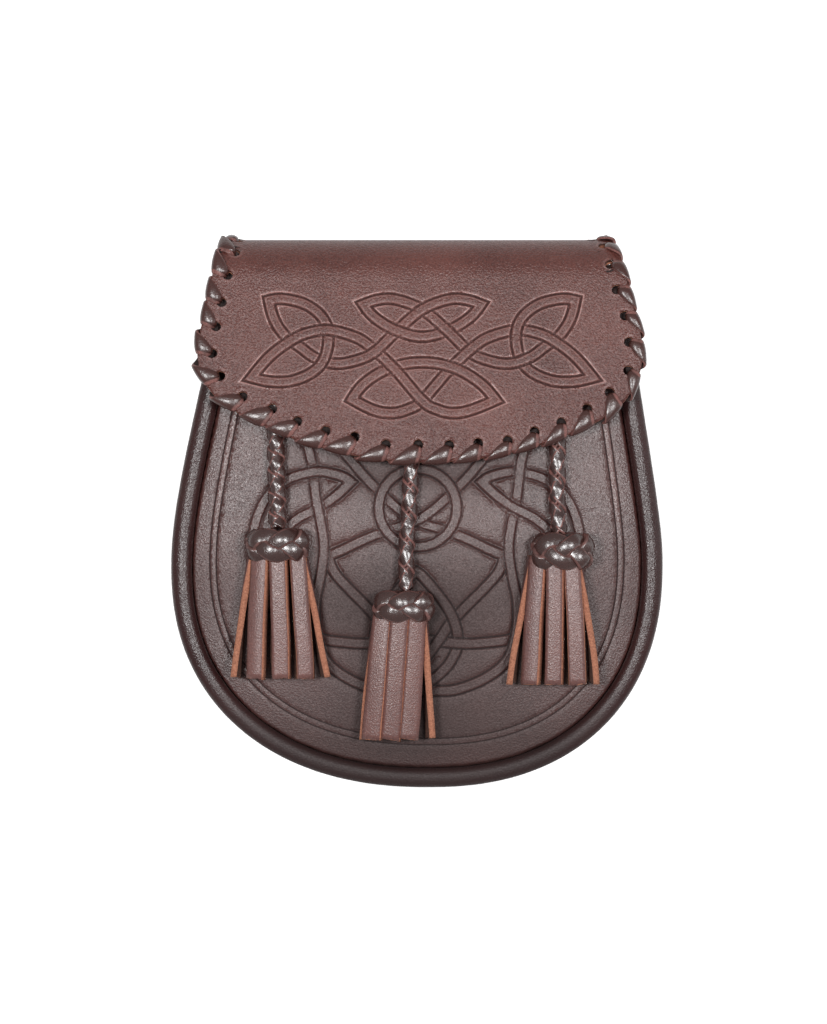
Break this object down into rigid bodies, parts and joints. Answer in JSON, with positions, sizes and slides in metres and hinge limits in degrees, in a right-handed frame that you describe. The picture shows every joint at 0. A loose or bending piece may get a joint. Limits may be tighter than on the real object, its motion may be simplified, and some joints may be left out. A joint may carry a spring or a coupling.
{
  "type": "sporran pouch",
  "caption": "Leather flap pouch worn on a belt: domed embossed front with rolled edge, laced fold-over flap and hanging tassels.",
  "frame": {"origin": "middle of the pouch's bounding box in X and Y, within 1 mm, on the surface that it lies on", "axes": "+X to the right as the front is seen, +Y towards the folded top, +Z out of the embossed front, up from the surface"},
  "size_m": [0.1795, 0.2011, 0.0512],
  "materials": {
    "panel_leather": "semi-gloss embossed leather",
    "piping_leather": "glossy rolled leather",
    "gusset_leather": "soft leather",
    "back_leather": "smooth leather",
    "flap_leather": "semi-gloss embossed leather",
    "lace_leather": "glossy leather thong with raw rust edges",
    "fringe_leather": "smooth leather strips with raw rust edges",
    "stud_metal": "antique metal"
  },
  "bodies": {
    "root": {"front_panel": "panel_leather", "edge_piping": "piping_leather", "gusset": "gusset_leather", "back_panel": "back_leather", "flap": "flap_leather", "flap_lacing": "lace_leather", "strap_loop_left": "back_leather", "strap_loop_right": "back_leather", "closure_stud": "stud_metal", "tassel_anchor_left": "back_leather", "tassel_cord_left": "lace_leather", "tassel_knot_left": "lace_leather", "tassel_skirt_left": "fringe_leather", "tassel_anchor_middle": "back_leather", "tassel_cord_middle": "lace_leather", "tassel_knot_middle": "lace_leather", "tassel_skirt_middle": "fringe_leather", "tassel_anchor_right": "back_leather", "tassel_cord_right": "lace_leather", "tassel_knot_right": "lace_leather", "tassel_skirt_right": "fringe_leather"}
  },
  "joints": []
}
